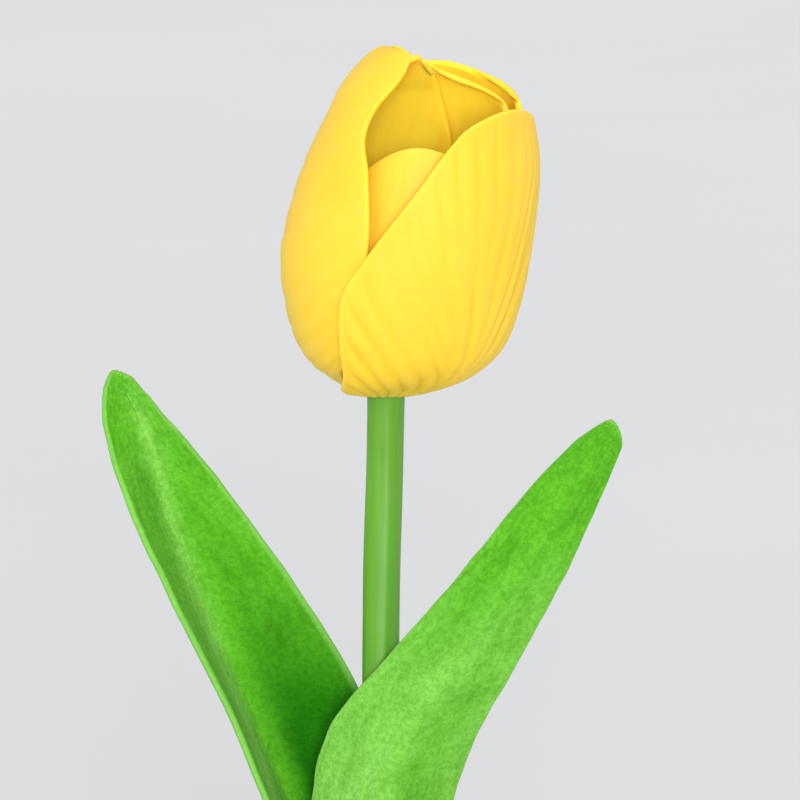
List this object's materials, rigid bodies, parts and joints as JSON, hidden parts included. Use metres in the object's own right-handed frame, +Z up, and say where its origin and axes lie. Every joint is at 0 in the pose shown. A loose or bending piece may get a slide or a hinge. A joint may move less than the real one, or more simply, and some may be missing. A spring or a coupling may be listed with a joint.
{
  "type": "potted tulip",
  "caption": "Single tulip with a cup-shaped bloom on a straight stem between long folded leaves, growing from a bulb in a plain round clay pot.",
  "frame": {"origin": "on the pot's axis in the plane of its foot", "axes": "+Z up the pot and stem, -Y towards the viewer of the picture, +X to the viewer's right, on the side of the right leaf"},
  "size_m": [0.1038, 0.1038, 0.2617],
  "materials": {
    "clay": "unglazed fired clay, matt",
    "soil": "dark crumbly potting soil, matt",
    "bulb_skin": "dry papery brown skin",
    "stem_green": "smooth green, satin",
    "leaf_green": "soft mottled green, felt-like",
    "petal_yellow": "smooth soft yellow, finely ridged along the petal",
    "pistil_green": "pale yellow-green, matt",
    "stamen_yellow": "dusty yellow, matt"
  },
  "bodies": {
    "root": {"pot": "clay", "soil": "soil", "bulb": "bulb_skin", "stem": "stem_green", "leaf_left": "leaf_green", "leaf_right": "leaf_green", "petal_outer_left": "petal_yellow", "petal_outer_right": "petal_yellow", "petal_outer_back": "petal_yellow", "petal_inner_front": "petal_yellow", "petal_inner_right": "petal_yellow", "petal_inner_left": "petal_yellow", "pistil": "pistil_green", "stamens": "stamen_yellow"}
  },
  "joints": []
}
